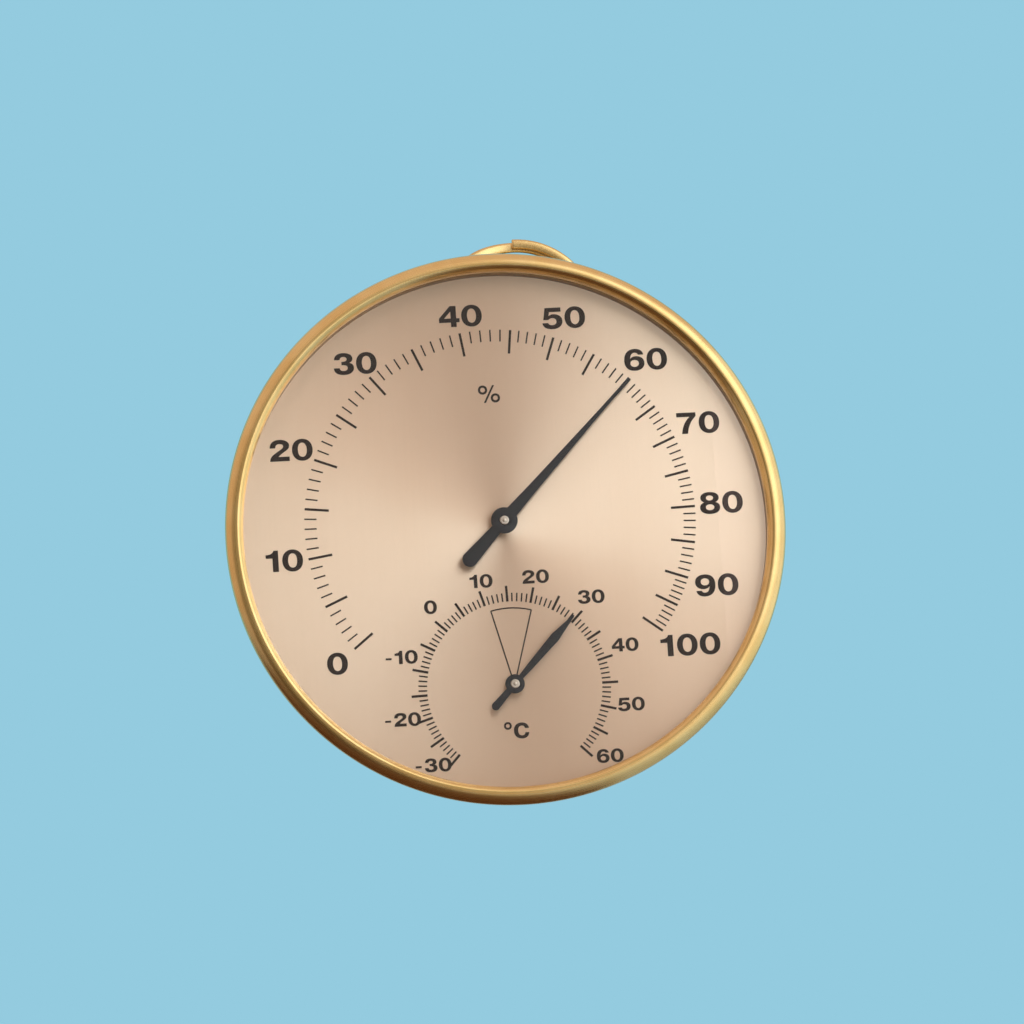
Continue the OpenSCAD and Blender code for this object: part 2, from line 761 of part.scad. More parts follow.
module hygro_washer() {
    color("silver") at_hygro() ring(washer_r, hygro_bush_r + fit_gap, nut_top, washer_top);
}

module regulator_lever() {
    color("gold") at_hygro() clockwise(lever_angle) {
        difference() {
            union() {
                disc(lever_ring_r, lever_low, lever_top);
                translate([-lever_w / 2, 0, lever_low])
                    cube([lever_w, lever_slot_r, lever_t]);
                translate([0, lever_slot_r, 0]) disc(lever_pad_r, lever_low, lever_top);
            }
            disc(hygro_bush_r + run_gap, lever_low - 1, lever_top + 1);
            translate([driver_slot_edge - lever_pad_r, lever_slot_r - driver_slot_w / 2, lever_low - 1])
                cube([2 * (lever_pad_r - driver_slot_edge), driver_slot_w, lever_t + 2]);
        }
        coil_stud(hygro_stud_r, hygro_coil_end, hygro_strip_t, hygro_coil_low - face_gap,
            lever_low + sliver, hygro_coil_low - 1, hygro_coil_top + face_gap);
    }
}

module hygro_coil() {
    color("burlywood") at_hygro() coil(hygro_coil_start, hygro_pitch, hygro_turns,
        hygro_strip_t, hygro_coil_low, hygro_coil_top, lever_angle);
}

module hygro_coil_collet() {
    color("gold") at_hygro() collet(hygro_collet_r, hygro_arbor_r + fit_gap,
        hygro_coil_low - face_gap, hygro_coil_top + face_gap);
}

module hygro_arbor() {
    color("silver") at_hygro() arbor(hygro_arbor_r, hygro_spigot_r, hygro_bridge_low,
        hygro_bridge_top + end_shake, hygro_hub_z, hygro_hub_top);
}

module hygro_pointer_hub() {
    color("gold") at_hygro() pointer_hub(hygro_shoulder_r, hygro_spigot_r + fit_gap,
        hygro_hub_z, hygro_pointer_z, hygro_hub_top);
}

module hygro_pointer() {
    color("dimgray") at_hygro() clockwise(hygro_angle(hygro_reading))
        pointer_plate(hygro_boss_r, hygro_tail_r, hygro_tail_end, hygro_tail_w, hygro_pointer_z,
            hygro_pointer_t, [
                [-hygro_blade_root / 2, 0], [-hygro_blade_tip / 2, hygro_tip_r],
                [hygro_blade_tip / 2, hygro_tip_r], [hygro_blade_root / 2, 0]
            ]);
}

module hygro_bridge() {
    color("gold") at_hygro() clockwise(hygro_bridge_angle)
        bridge(hygro_post_r, hygro_bridge_low, hygro_bridge_top);
}

module hygro_bridge_posts() {
    color("gold") at_hygro() clockwise(hygro_bridge_angle)
        bridge_posts(hygro_post_r, hygro_bridge_top);
}

module hygro_bridge_screws() {
    color("silver") at_hygro() clockwise(hygro_bridge_angle)
        bridge_screws(hygro_post_r, hygro_bridge_low, hygro_bridge_top);
}

module thermo_bush() {
    color("gold") at_thermo() flanged_bush(thermo_bush_r, thermo_bush_flange_r,
        thermo_bush_flange_t, thermo_bush_back, thermo_arbor_r + run_gap);
}

module thermo_bush_nut() {
    color("gold") at_thermo() hex_nut(thermo_nut_r, thermo_bush_r + fit_gap,
        dial_back - thermo_nut_t, dial_back);
}

module thermo_coil() {
    color("silver") at_thermo() coil(thermo_coil_start, thermo_pitch, thermo_turns,
        thermo_strip_t, thermo_coil_low, thermo_coil_top, 0);
}

module thermo_coil_collet() {
    color("gold") at_thermo() collet(thermo_collet_r, thermo_arbor_r + fit_gap,
        thermo_coil_low - face_gap, thermo_coil_top + face_gap);
}

module thermo_arbor() {
    color("silver") at_thermo() arbor(thermo_arbor_r, thermo_spigot_r, thermo_bridge_low,
        thermo_bridge_top + end_shake, thermo_hub_z, thermo_hub_top);
}

module thermo_pointer_hub() {
    color("gold") at_thermo() pointer_hub(thermo_shoulder_r, thermo_spigot_r + fit_gap,
        thermo_hub_z, thermo_pointer_z, thermo_hub_top);
}

module thermo_pointer() {
    color("dimgray") at_thermo() clockwise(thermo_angle(thermo_reading))
        pointer_plate(thermo_boss_r, thermo_tail_r, thermo_tail_end, thermo_tail_w, thermo_pointer_z,
            thermo_pointer_t, [
                [-thermo_blade_root / 2, 0], [-thermo_blade_max / 2, thermo_blade_max_r],
                [-thermo_blade_tip / 2, thermo_tip_r], [thermo_blade_tip / 2, thermo_tip_r],
                [thermo_blade_max / 2, thermo_blade_max_r], [thermo_blade_root / 2, 0]
            ]);
}

module thermo_bridge() {
    color("gold") at_thermo() clockwise(thermo_bridge_angle)
        bridge(thermo_post_r, thermo_bridge_low, thermo_bridge_top);
}

module thermo_bridge_posts() {
    color("gold") at_thermo() clockwise(thermo_bridge_angle) bridge_posts(thermo_post_r, thermo_bridge_top);
}

module thermo_bridge_screws() {
    color("silver") at_thermo() clockwise(thermo_bridge_angle)
        bridge_screws(thermo_post_r, thermo_bridge_low, thermo_bridge_top);
}

module thermo_coil_stud() {
    color("gold") at_thermo() coil_stud(thermo_stud_r, thermo_coil_end, thermo_strip_t,
        thermo_coil_low - face_gap, dial_back, thermo_coil_low - 1, thermo_coil_top + face_gap);
}

bezel_ring();
glass();
glass_gasket();
spacer_ring();
dial_plate();
dial_scale();
back_pan();
hanger_strap();
hanger_rivets();
hanging_ring();
hygro_bush();
hygro_bush_nut();
hygro_washer();
regulator_lever();
hygro_coil();
hygro_coil_collet();
hygro_arbor();
hygro_pointer_hub();
hygro_pointer();
hygro_bridge();
hygro_bridge_posts();
hygro_bridge_screws();
thermo_bush();
thermo_bush_nut();
thermo_coil();
thermo_coil_collet();
thermo_arbor();
thermo_pointer_hub();
thermo_pointer();
thermo_bridge();
thermo_bridge_posts();
thermo_bridge_screws();
thermo_coil_stud();
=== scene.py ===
import bpy
import bmesh
import math
from mathutils import Matrix, Vector


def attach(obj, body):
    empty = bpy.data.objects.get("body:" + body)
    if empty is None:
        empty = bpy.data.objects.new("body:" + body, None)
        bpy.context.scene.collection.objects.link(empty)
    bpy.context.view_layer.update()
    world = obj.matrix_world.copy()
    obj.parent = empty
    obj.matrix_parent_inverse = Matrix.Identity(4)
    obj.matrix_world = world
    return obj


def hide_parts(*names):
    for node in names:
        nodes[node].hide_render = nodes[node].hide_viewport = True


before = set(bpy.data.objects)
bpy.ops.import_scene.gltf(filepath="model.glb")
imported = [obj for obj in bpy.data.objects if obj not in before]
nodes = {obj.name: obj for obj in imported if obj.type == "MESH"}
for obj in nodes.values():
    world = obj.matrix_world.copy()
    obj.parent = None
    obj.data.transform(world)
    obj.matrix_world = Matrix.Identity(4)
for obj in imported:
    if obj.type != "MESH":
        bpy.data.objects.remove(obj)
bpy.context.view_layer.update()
mm = 0.001
print("frame loaded")


# Millimetres on the dial: x to the right, up to twelve o'clock, height from the wall to the reader
def onDial(x, up, height):
    return Vector((x * mm, -height * mm, up * mm))


def clockwise(x, up, degrees):
    a = math.radians(degrees)
    return x * math.cos(a) + up * math.sin(a), up * math.cos(a) - x * math.sin(a)


def around(radius, degrees):
    return clockwise(0, radius, degrees)


def steppedRange(start, end, steps):
    return [start + (end - start) * i / steps for i in range(steps + 1)]


# Edges that turn by more than the sharp angle stay crisp, the rest is shaded smooth
def finishPiece(obj, material, body, replaced=(), sharp=35):
    obj.data.materials.clear()
    obj.data.materials.append(material)
    obj.data.shade_smooth()
    obj.data.set_sharp_from_angle(angle=math.radians(sharp))
    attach(obj, body)
    if replaced:
        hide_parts(*replaced)


def pieceFromMesh(name, points, faces, material, body, replaced=(), sharp=35):
    mesh = bpy.data.meshes.new(name)
    mesh.from_pydata(points, [], faces)
    mesh.update()
    shell = bmesh.new()
    shell.from_mesh(mesh)
    bmesh.ops.recalc_face_normals(shell, faces=shell.faces)
    shell.to_mesh(mesh)
    shell.free()
    obj = bpy.data.objects.new(name, mesh)
    bpy.context.scene.collection.objects.link(obj)
    finishPiece(obj, material, body, replaced, sharp)


# Points of an arc about (x, y), its angles counted from the x direction
def arcPoints(x, y, radius, start, end, steps):
    turn = [math.radians(a) for a in steppedRange(start, end, steps)]
    return [(x + radius * math.cos(a), y + radius * math.sin(a)) for a in turn]


# Turns a closed outline of (radius, height) points about an axis square to the dial
def turnedShape(profile, steps, centre=(0, 0)):
    points, faces, count = [], [], len(profile)
    for i in range(steps):
        sideways, up = around(1, 360 * i / steps)
        for radius, height in profile:
            points.append(onDial(centre[0] + radius * sideways, centre[1] + radius * up, height))
    for i in range(steps):
        here, after = i * count, (i + 1) % steps * count
        for j in range(count):
            k = (j + 1) % count
            faces.append((here + j, here + k, after + k, after + j))
    return points, faces


# A turned shape that is solid in the middle: the outline starts and ends on the axis
def turnedSolid(profile, steps, centre=(0, 0)):
    points, faces, count = [], [], len(profile) - 2
    for i in range(steps):
        sideways, up = around(1, 360 * i / steps)
        for radius, height in profile[1:-1]:
            points.append(onDial(centre[0] + radius * sideways, centre[1] + radius * up, height))
    low, high = len(points), len(points) + 1
    points += [onDial(*centre, profile[0][1]), onDial(*centre, profile[-1][1])]
    for i in range(steps):
        here, after = i * count, (i + 1) % steps * count
        faces.append((low, here, after))
        for j in range(count - 1):
            faces.append((here + j, here + j + 1, after + j + 1, after + j))
        faces.append((here + count - 1, high, after + count - 1))
    return points, faces


# Flat plate between two heights from closed outlines, the inner ones cutting holes; its edge is rounded
def flatPiece(name, outlines, low, high, edge, material, body, replaced=()):
    weld = 0.002
    curve = bpy.data.curves.new(name + "Outline", "CURVE")
    curve.dimensions = "2D"
    curve.fill_mode = "BOTH"
    curve.extrude = ((high - low) / 2 - edge) * mm
    curve.bevel_depth = edge * mm
    curve.bevel_resolution = 2
    curve.offset = -edge * mm
    for outline in outlines:
        spline = curve.splines.new("POLY")
        spline.points.add(len(outline) - 1)
        for point, (x, up) in zip(spline.points, outline):
            point.co = (x * mm, up * mm, 0, 1)
        spline.use_cyclic_u = True
    shape = bpy.data.objects.new(name + "Outline", curve)
    bpy.context.scene.collection.objects.link(shape)
    bpy.context.view_layer.update()
    drawn = shape.evaluated_get(bpy.context.evaluated_depsgraph_get())
    mesh = bpy.data.meshes.new_from_object(drawn)
    bpy.data.objects.remove(shape)
    bpy.data.curves.remove(curve)
    plate = bmesh.new()
    plate.from_mesh(mesh)
    bmesh.ops.remove_doubles(plate, verts=plate.verts, dist=weld * mm)
    for vert in plate.verts:
        x, up, rise = vert.co
        vert.co = (x, -(low + high) / 2 * mm - rise, up)
    bmesh.ops.recalc_face_normals(plate, faces=plate.faces)
    plate.to_mesh(mesh)
    plate.free()
    mesh.name = name
    obj = bpy.data.objects.new(name, mesh)
    bpy.context.scene.collection.objects.link(obj)
    finishPiece(obj, material, body, replaced)


print("helpers ready")


def newMaterial(name):
    material = bpy.data.materials.new(name)
    material.use_nodes = True
    tree = material.node_tree
    return material, tree, tree.nodes["Principled BSDF"]


# A value is a property of the node where it has one of that name, and otherwise an input
def addNode(tree, kind, **values):
    node = tree.nodes.new(kind)
    for key, value in values.items():
        if key in node.bl_rna.properties:
            setattr(node, key, value)
        else:
            node.inputs[key.replace("_", " ")].default_value = value
    return node


def linkNodes(tree, *pairs):
    for start, end in pairs:
        tree.links.new(start, end)


# Noise in the piece's own millimetres, stretched by the three numbers
def finishNoise(tree, stretch, size, detail):
    place = addNode(tree, "ShaderNodeTexCoord")
    scale = addNode(tree, "ShaderNodeMapping")
    scale.inputs["Scale"].default_value = [1000 * s for s in stretch]
    noise = addNode(tree, "ShaderNodeTexNoise", Scale=size, Detail=detail)
    linkNodes(
        tree,
        (place.outputs["Object"], scale.inputs["Vector"]),
        (scale.outputs[0], noise.inputs["Vector"]),
    )
    return noise


# Noise that runs round the dial's axis, as marks left by turning or polishing do
def turnedNoise(tree, perMillimetre):
    place = addNode(tree, "ShaderNodeTexCoord")
    split = addNode(tree, "ShaderNodeSeparateXYZ")
    flat = addNode(tree, "ShaderNodeCombineXYZ")
    length = addNode(tree, "ShaderNodeVectorMath", operation="LENGTH")
    line = addNode(tree, "ShaderNodeCombineXYZ")
    noise = addNode(tree, "ShaderNodeTexNoise", Scale=1000 * perMillimetre, Detail=2.0)
    linkNodes(
        tree,
        (place.outputs["Object"], split.inputs[0]),
        (split.outputs["X"], flat.inputs["X"]),
        (split.outputs["Z"], flat.inputs["Y"]),
        (flat.outputs[0], length.inputs[0]),
        (length.outputs["Value"], line.inputs["X"]),
        (split.outputs["Y"], line.inputs["Y"]),
        (line.outputs[0], noise.inputs["Vector"]),
    )
    return noise


# A colour that goes from low to high while the source goes from start to end
def rampBetween(tree, source, low, high, start=0.35, end=0.65):
    ramp = addNode(tree, "ShaderNodeValToRGB")
    ramp.color_ramp.elements[0].position = start
    ramp.color_ramp.elements[0].color = (*low, 1)
    ramp.color_ramp.elements[1].position = end
    ramp.color_ramp.elements[1].color = (*high, 1)
    linkNodes(tree, (source, ramp.inputs[0]))
    return ramp.outputs[0]


# The same for a number, such as a roughness
def rangeBetween(tree, source, low, high, start=0.3, end=0.7):
    spread = addNode(tree, "ShaderNodeMapRange", From_Min=start, From_Max=end, To_Min=low, To_Max=high)
    linkNodes(tree, (source, spread.inputs["Value"]))
    return spread.outputs[0]


def addBump(tree, shader, source, depth):
    bump = addNode(tree, "ShaderNodeBump", Strength=1.0, Distance=depth * mm)
    linkNodes(tree, (source, bump.inputs["Height"]), (bump.outputs[0], shader.inputs["Normal"]))


# A clouded metal with fine marks, or with lines turned round the axis, that many to the millimetre
def metalMaterial(name, light, dark, roughness, turned=0, grain=0.004, lacquer=0):
    finish = {"lacquerRoughness": 0.2, "cloud": 0.18, "cloudDetail": 4, "marks": 6, "marksDetail": 3}
    material, tree, shader = newMaterial(name)
    shader.inputs["Metallic"].default_value = 1
    shader.inputs["Coat Weight"].default_value = lacquer
    shader.inputs["Coat Roughness"].default_value = finish["lacquerRoughness"]
    cloud = finishNoise(tree, (1, 1, 1), finish["cloud"], finish["cloudDetail"])
    if turned:
        fine = turnedNoise(tree, turned)
    else:
        fine = finishNoise(tree, (1, 1, 1), finish["marks"], finish["marksDetail"])
    linkNodes(
        tree,
        (rampBetween(tree, cloud.outputs["Fac"], dark, light), shader.inputs["Base Color"]),
        (rangeBetween(tree, fine.outputs["Fac"], *roughness), shader.inputs["Roughness"]),
    )
    addBump(tree, shader, fine.outputs["Fac"], grain)
    return material


metalFinishes = {
    "goldMetal": {"light": (0.90, 0.615, 0.235), "dark": (0.85, 0.555, 0.19), "roughness": (0.24, 0.34),
                  "turned": 5, "grain": 0.001, "lacquer": 0.6},
    "wireMetal": {"light": (0.88, 0.62, 0.26), "dark": (0.79, 0.53, 0.20), "roughness": (0.2, 0.32)},
    "paleMetal": {"light": (0.62, 0.48, 0.37), "dark": (0.52, 0.40, 0.30), "roughness": (0.38, 0.5)},
    "brassMetal": {"light": (0.80, 0.62, 0.32), "dark": (0.68, 0.49, 0.22), "roughness": (0.2, 0.34)},
    "steelMetal": {"light": (0.56, 0.56, 0.57), "dark": (0.44, 0.44, 0.45), "roughness": (0.22, 0.36)},
    "panMetal": {"light": (0.66, 0.50, 0.26), "dark": (0.58, 0.42, 0.20), "roughness": (0.3, 0.42),
                 "turned": 3},
    # The spacer ring's metal is a dark brown that is painted shade. It stands in for the shade in the recess
    # under the bezel's lip, which the lamps no longer cast there because the rim does not block them.
    "spacerPaintedShade": {"light": (0.27, 0.15, 0.065), "dark": (0.20, 0.11, 0.045), "roughness": (0.3, 0.45),
                    "turned": 4},
    "bimetalStrip": {"light": (0.60, 0.54, 0.46), "dark": (0.48, 0.40, 0.32), "roughness": (0.3, 0.42)},
}
finishes = {name: metalMaterial(name, **finish) for name, finish in metalFinishes.items()}
print("metals made")


# Brushed sheet: fine streaks, spun reflections about the middle and a slow change of shade
def dialMaterial():
    finish = {
        "light": (0.95, 0.66, 0.455),
        "dark": (0.90, 0.61, 0.41),
        "roughness": (0.42, 0.44),
        "anisotropic": 0.9,
        "quarterTurn": 0.25,
        "metallic": 0.72,
        "streakStretch": (1, 1, 0.02),
        "streaks": 2.5,
        "cloudStretch": (1, 1, 0.4),
        "cloud": 0.03,
        "cloudShare": 0.8,
        "grain": 0.001,
    }
    material, tree, shader = newMaterial("dialMetal")
    shader.inputs["Metallic"].default_value = finish["metallic"]
    shader.inputs["Anisotropic"].default_value = finish["anisotropic"]
    shader.inputs["Anisotropic Rotation"].default_value = finish["quarterTurn"]
    tangent = addNode(tree, "ShaderNodeTangent", direction_type="RADIAL", axis="Y")
    streaks = finishNoise(tree, finish["streakStretch"], finish["streaks"], 4)
    cloud = finishNoise(tree, finish["cloudStretch"], finish["cloud"], 2)
    both = addNode(tree, "ShaderNodeMix", data_type="FLOAT", Factor=finish["cloudShare"])
    linkNodes(
        tree,
        (tangent.outputs[0], shader.inputs["Tangent"]),
        (streaks.outputs["Fac"], both.inputs[2]),
        (cloud.outputs["Fac"], both.inputs[3]),
        (rampBetween(tree, both.outputs[0], finish["dark"], finish["light"]), shader.inputs["Base Color"]),
        (rangeBetween(tree, streaks.outputs["Fac"], *finish["roughness"]), shader.inputs["Roughness"]),
    )
    addBump(tree, shader, streaks.outputs["Fac"], finish["grain"])
    return material


# Ink, paint, rubber and strip: one noise for the shade, the roughness and the grain
def plainMaterial(name, light, dark, roughness, marks, grain, stretch=(1, 1, 1), shine=0.5):
    material, tree, shader = newMaterial(name)
    shader.inputs["Specular IOR Level"].default_value = shine
    noise = finishNoise(tree, stretch, marks, 4)
    linkNodes(
        tree,
        (rampBetween(tree, noise.outputs["Fac"], dark, light), shader.inputs["Base Color"]),
        (rangeBetween(tree, noise.outputs["Fac"], *roughness), shader.inputs["Roughness"]),
    )
    addBump(tree, shader, noise.outputs["Fac"], grain)
    return material


# Clear glass with a breath of dust, which lets the lamps and the dial's own light straight through
def glassMaterial():
    finish = {"tint": (0.985, 0.995, 0.99), "index": 1.5, "dust": 0.6, "roughness": (0.0, 0.02)}
    material, tree, shader = newMaterial("clearGlass")
    shader.inputs["Base Color"].default_value = (*finish["tint"], 1)
    shader.inputs["IOR"].default_value = finish["index"]
    shader.inputs["Transmission Weight"].default_value = 1
    dust = finishNoise(tree, (1, 1, 1), finish["dust"], 5)
    dull = rangeBetween(tree, dust.outputs["Fac"], *finish["roughness"], start=0.55, end=0.8)
    path = addNode(tree, "ShaderNodeLightPath")
    clear = addNode(tree, "ShaderNodeBsdfTransparent")
    clear.inputs["Color"].default_value = (*finish["tint"], 1)
    fromLamps, fromDial = addNode(tree, "ShaderNodeMixShader"), addNode(tree, "ShaderNodeMixShader")
    linkNodes(
        tree,
        (dull, shader.inputs["Roughness"]),
        (path.outputs["Is Shadow Ray"], fromLamps.inputs[0]),
        (shader.outputs[0], fromLamps.inputs[1]),
        (clear.outputs[0], fromLamps.inputs[2]),
        (path.outputs["Is Diffuse Ray"], fromDial.inputs[0]),
        (fromLamps.outputs[0], fromDial.inputs[1]),
        (clear.outputs[0], fromDial.inputs[2]),
        (fromDial.outputs[0], tree.nodes["Material Output"].inputs["Surface"]),
    )
    return material


plainFinishes = {
    "dialInk": {"light": (0.036, 0.019, 0.015), "dark": (0.027, 0.014, 0.011), "roughness": (0.55, 0.7),
                "marks": 8, "grain": 0.004, "shine": 0.18},
    "pointerPaint": {"light": (0.026, 0.020, 0.021), "dark": (0.019, 0.015, 0.016), "roughness": (0.5, 0.62),
                     "marks": 5, "grain": 0.004, "shine": 0.3},
    "gasketRubber": {"light": (0.05, 0.042, 0.036), "dark": (0.03, 0.026, 0.022), "roughness": (0.6, 0.8),
                     "marks": 3, "grain": 0.02},
    "humidityStrip": {"light": (0.62, 0.49, 0.30), "dark": (0.50, 0.38, 0.22), "roughness": (0.45, 0.62),
                      "marks": 2, "grain": 0.01, "stretch": (1, 4, 1)},
}
finishes["dialMetal"] = dialMaterial()
finishes["clearGlass"] = glassMaterial()
finishes.update({name: plainMaterial(name, **finish) for name, finish in plainFinishes.items()})
print("dial, glass, ink and paint made")


# The bezel is one sheet: crimped round the pan, up the skirt, under and over the bead, down to the glass
def makeBezel():
    bezel = {
        "beadMiddle": 62.9, "beadHeight": 16.9, "beadRadius": 2.1, "crest": 62.3, "lip": 60.7, "sheet": 0.7,
        "skirtRadius": 63.2, "glassTop": 16.0, "crimpLow": 8.7, "crimpInner": 60.7, "fold": 0.6,
        "underCurve": 0.35, "innerTurn": -80, "neckDrop": 0.2, "edgeBreak": 0.12, "lipBreak": 0.15,
        "steps": 256,
    }
    middle, height, radius, sheet = (bezel[k] for k in ("beadMiddle", "beadHeight", "beadRadius", "sheet"))
    skirt, low, fold, under = (bezel[k] for k in ("skirtRadius", "crimpLow", "fold", "underCurve"))
    crest, lip, glassTop, inner = (bezel[k] for k in ("crest", "lip", "glassTop", "crimpInner"))
    edge, lipBreak = bezel["edgeBreak"], bezel["lipBreak"]

    # The rounded top, from its outermost point over the crest to the lip
    def beadTop(inset, steps):
        points = []
        for x, y in arcPoints(0, 0, 1, 0, 180, 2 * steps):
            half = middle + radius - crest if x > 0 else crest - lip
            points.append((crest + x * (half - inset), height + y * (radius - inset)))
        return points

    reach = radius + under
    side = skirt + under - middle
    drop = math.sqrt(reach * reach - side * side)
    underAngle = math.degrees(math.atan2(-drop, side))
    profile = [(inner + edge, low)]
    profile += arcPoints(skirt - fold, low + fold, fold, -90, 0, steps=6)
    profile += arcPoints(skirt + under, height - drop, under, 180, underAngle + 180, steps=5)
    profile += arcPoints(middle, height, radius, underAngle, 0, steps=12)[:-1] + beadTop(0, steps=22)
    profile += [(lip, glassTop + lipBreak), (lip + lipBreak, glassTop), (lip + sheet, glassTop)]
    profile += beadTop(sheet, steps=10)[::-1]
    profile += arcPoints(middle, height, radius - sheet, 0, bezel["innerTurn"], steps=8)[1:]
    profile += [(skirt - sheet, height - radius - bezel["neckDrop"]), (skirt - sheet, low + sheet)]
    profile += [(inner + edge, low + sheet), (inner, low + sheet - edge), (inner, low + edge)]
    points, faces = turnedShape(profile, bezel["steps"])
    pieceFromMesh("bezelBead", points, faces, finishes["goldMetal"], "case", ["bezel_ring"])


makeBezel()
print("bezel made")


# A closed oval of four curves, rounder or squarer with k
def oval(x, y, rx, ry, k=0.58):
    return [(x - rx, y), (x - rx, y + k * ry, x - k * rx, y + ry, x, y + ry),
            (x + k * rx, y + ry, x + rx, y + k * ry, x + rx, y),
            (x + rx, y - k * ry, x + k * rx, y - ry, x, y - ry),
            (x - k * rx, y - ry, x - rx, y - k * ry, x - rx, y)]


# Outlines in hundredths of the numeral's height: two numbers draw a line, six draw a curve
glyphs = {
    "0": [oval(48, 50, 48, 52, 0.6), oval(48, 50, 21, 34, 0.62)],
    "1": [[(33, 0), (60, 0), (60, 100), (39, 100), (36, 86, 22, 81, 2, 80), (2, 64), (33, 64)]],
    "2": [[(2, 0), (93, 0), (93, 21), (42, 21), (48, 30, 60, 37, 70, 44), (84, 53, 94, 60, 94, 74),
           (94, 91, 76, 102, 49, 102), (20, 102, 3, 88, 3, 63), (29, 63), (29, 76, 36, 82, 48, 82),
           (60, 82, 66, 78, 66, 71), (66, 63, 60, 59, 46, 50), (20, 34, 2, 24, 2, 0)]],
    "3": [[(1, 31), (28, 31), (29, 22, 36, 17, 47, 17), (59, 17, 66, 22, 66, 31),
           (66, 41, 58, 45, 44, 45), (38, 45), (38, 61), (44, 61),
           (56, 61, 63, 65, 63, 72), (63, 80, 57, 84, 47, 84),
           (37, 84, 31, 79, 30, 70), (4, 70), (5, 91, 21, 102, 47, 102), (73, 102, 90, 92, 90, 75),
           (90, 64, 84, 58, 74, 55), (87, 52, 95, 43, 95, 30), (95, 10, 76, -2, 48, -2),
           (19, -2, 2, 10, 1, 31)]],
    "4": [[(56, 0), (82, 0), (82, 22), (97, 22), (97, 41), (82, 41), (82, 100), (54, 100), (1, 42), (1, 22),
           (56, 22)], [(56, 41), (56, 75), (25, 41)]],
    "5": [[(1, 28), (28, 28), (30, 20, 37, 17, 47, 17), (60, 17, 67, 24, 67, 34), (67, 44, 60, 51, 48, 51),
           (40, 51, 34, 48, 30, 43), (6, 43), (15, 100), (89, 100), (89, 80), (35, 80), (31, 61),
           (37, 66, 45, 69, 55, 69), (79, 69, 95, 55, 95, 35),
           (95, 12, 76, -2, 48, -2), (19, -2, 2, 9, 1, 28)]],
    "6": [[(92, 74), (89, 92, 74, 102, 52, 102), (20, 102, 1, 82, 1, 47), (1, 15, 18, -2, 49, -2),
           (77, -2, 95, 12, 95, 34), (95, 54, 80, 67, 57, 67), (45, 67, 35, 63, 29, 55),
           (31, 74, 38, 84, 51, 84), (59, 84, 65, 81, 67, 74)], oval(49, 33, 20, 17)],
    "7": [[(3, 100), (93, 100), (93, 82), (70, 62, 55, 30, 53, 0), (25, 0),
           (28, 32, 42, 60, 64, 80), (3, 80)]],
    "8": [[(74, 54), (88, 49, 95, 41, 95, 29), (95, 10, 77, -2, 48, -2), (19, -2, 1, 10, 1, 29),
           (1, 41, 8, 49, 22, 54), (11, 58, 5, 65, 5, 75), (5, 92, 22, 102, 48, 102),
           (74, 102, 91, 92, 91, 75), (91, 65, 85, 58, 74, 54)], oval(48, 74, 17, 12), oval(48, 30, 20, 14)],
    "C": [[(98, 65), (94, 88, 77, 102, 52, 102), (20, 102, 0, 82, 0, 50), (0, 18, 20, -2, 52, -2),
           (78, -2, 96, 12, 98, 37), (73, 37), (71, 25, 64, 18, 52, 18), (36, 18, 27, 30, 27, 50),
           (27, 70, 36, 82, 52, 82), (63, 82, 70, 76, 72, 65)]],
    "-": [[(0, 34), (44, 34), (44, 48), (0, 48)]],
    "degree": [oval(24, 84, 25, 25), oval(24, 84, 12, 12)],
    "percent": [oval(25, 76, 27, 27), oval(25, 76, 14, 14), oval(97, 26, 27, 27), oval(97, 26, 14, 14),
                [(28, -1), (40, -1), (94, 103), (82, 103)]],
}
glyphs["9"] = [
    [tuple(96 - v if i % 2 == 0 else 100 - v for i, v in enumerate(entry)) for entry in path]
    for path in glyphs["6"]
]
# How far the next sign stands from the start of this one
advance = {"wide": 106, "1": 78, "-": 66, "degree": 56}


def flattenPath(path, steps=7, closed=0.01):
    points = []
    for entry in path:
        if len(entry) == 2:
            points.append(entry)
            continue
        x0, y0 = points[-1]
        x1, y1, x2, y2, x3, y3 = entry
        for i in range(1, steps + 1):
            t = i / steps
            a, b, c, d = (1 - t) ** 3, 3 * t * (1 - t) ** 2, 3 * t * t * (1 - t), t ** 3
            points.append((a * x0 + b * x1 + c * x2 + d * x3, a * y0 + b * y1 + c * y2 + d * y3))
    if math.dist(points[0], points[-1]) < closed:
        points.pop()
    return points


# Outlines of one number, its middle at the given place
def numberOutlines(signs, x, up, height):
    outlines, pen = [], 0
    for sign in signs:
        for path in glyphs[sign]:
            outlines.append([(px + pen, py) for px, py in flattenPath(path)])
        pen += advance.get(sign, advance["wide"])
    left = min(p[0] for o in outlines for p in o)
    right = max(p[0] for o in outlines for p in o)
    middle, size = (left + right) / 2, height / 100
    return [[(x + (px - middle) * size, up + (py - 50) * size) for px, py in o] for o in outlines]


